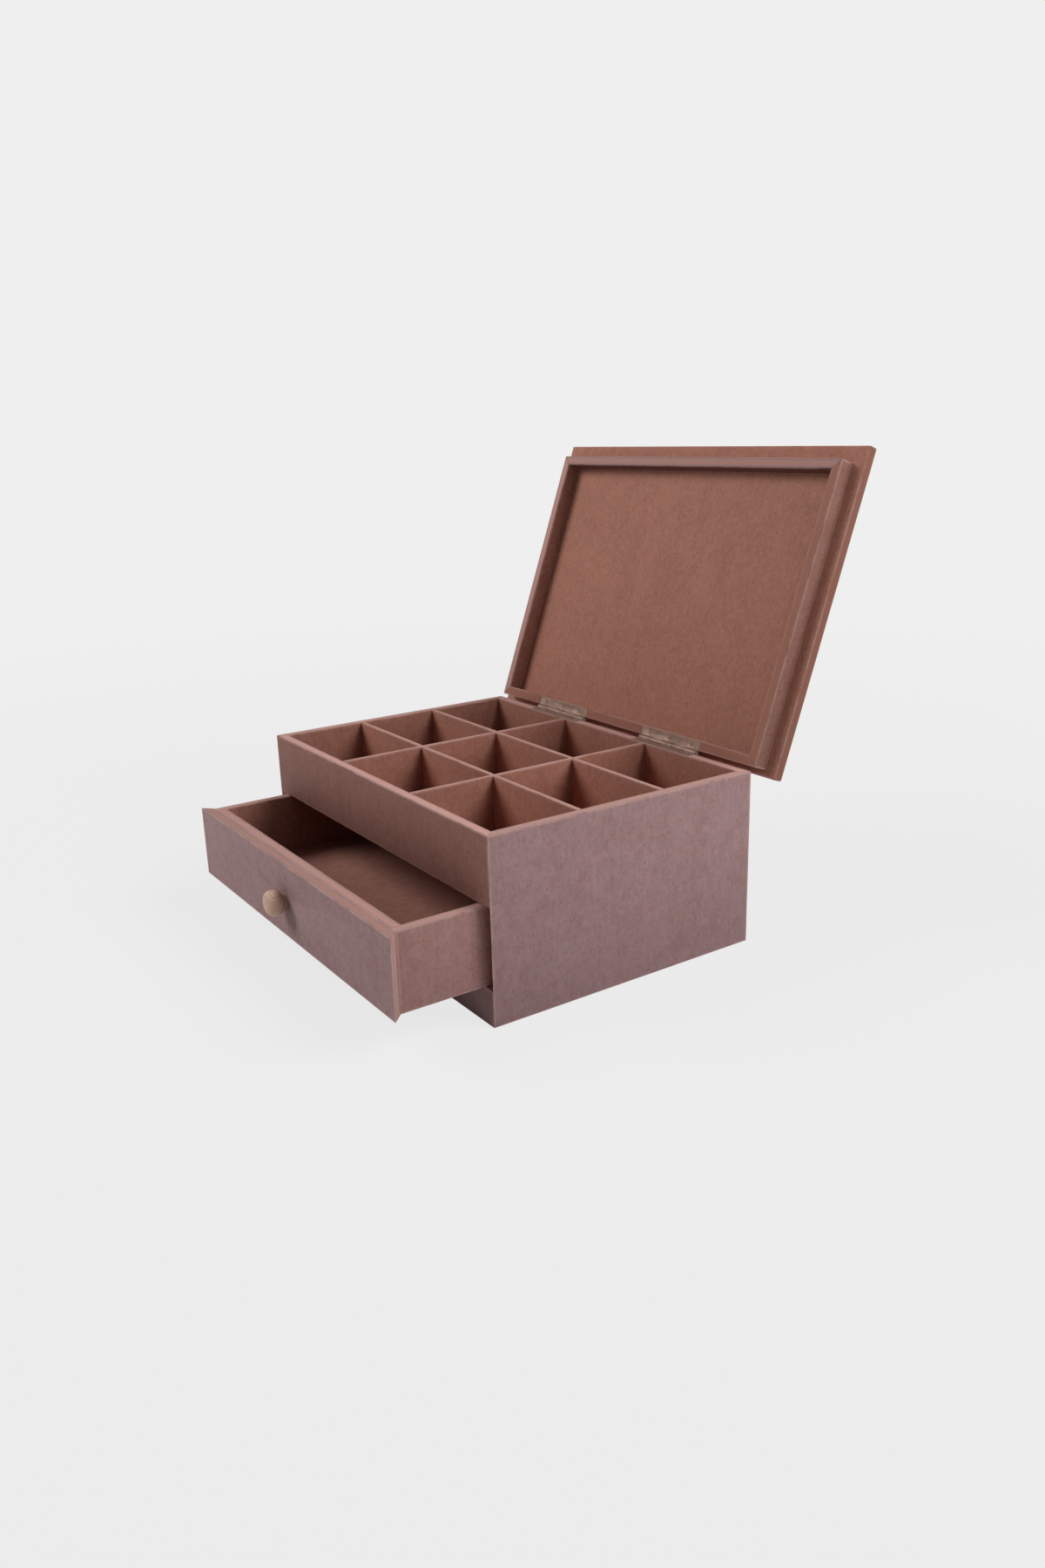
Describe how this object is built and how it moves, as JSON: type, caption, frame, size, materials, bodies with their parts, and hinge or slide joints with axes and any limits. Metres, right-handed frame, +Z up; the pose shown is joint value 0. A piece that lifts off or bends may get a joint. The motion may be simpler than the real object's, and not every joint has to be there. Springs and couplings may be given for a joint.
{
  "type": "makeup box with drawer",
  "caption": "Raw fibreboard makeup box with a grid of open compartments, a hinged lid with a shallow frame and a drawer with a turned knob below.",
  "frame": {"origin": "middle of the lower front edge of the case, on the surface it stands on", "axes": "+X to the right along the front, +Y from the front to the back, +Z up; the lid is stored open on its stop and the drawer pulled out by 54 mm"},
  "size_m": [0.266, 0.3167, 0.2704],
  "materials": {
    "board": "raw 6 mm fibreboard, matt, slightly fuzzy face and paler sawn edges",
    "divider_board": "raw 3 mm fibreboard, matt",
    "thin_board": "raw 3 mm fibreboard, matt",
    "knob_wood": "turned pale wood, unvarnished",
    "hinge_brass": "thin brass-plated steel, dulled",
    "hinge_pin_steel": "plain steel wire",
    "hinge_screw_steel": "brass-plated countersunk screws",
    "knob_screw_steel": "zinc-plated steel"
  },
  "bodies": {
    "case": {"case_back_panel": "board", "case_base_front_rail": "board", "case_bottom_panel": "thin_board", "case_front_upper_panel": "board", "case_side_left": "board", "case_side_right": "board", "compartment_floor": "thin_board", "divider_cross_left": "divider_board", "divider_cross_right": "divider_board", "divider_long_front": "divider_board", "divider_long_rear": "divider_board", "hinge_case_leaf_left": "hinge_brass", "hinge_case_leaf_right": "hinge_brass", "hinge_pin_left": "hinge_pin_steel", "hinge_pin_right": "hinge_pin_steel", "hinge_screws_case": "hinge_screw_steel"},
    "lid": {"hinge_lid_leaf_left": "hinge_brass", "hinge_lid_leaf_right": "hinge_brass", "hinge_screws_lid": "hinge_screw_steel", "lid_plate": "board", "lid_rail_front": "board", "lid_rail_left": "board", "lid_rail_rear": "board", "lid_rail_right": "board"},
    "drawer": {"drawer_back": "board", "drawer_bottom": "thin_board", "drawer_front_board": "board", "drawer_inner_front": "board", "drawer_knob": "knob_wood", "drawer_knob_screw": "knob_screw_steel", "drawer_side_left": "board", "drawer_side_right": "board"}
  },
  "joints": [
    {"name": "lid_hinge", "type": "hinge", "parent": "case", "child": "lid", "pos_m": [0, 0.1738, 0.10115], "axis": [1, 0, 0], "range_deg": [0, 110]},
    {"name": "drawer_slide", "type": "slide", "parent": "case", "child": "drawer", "axis": [0, -1, 0], "range_m": [-0.054, 0.066]}
  ]
}
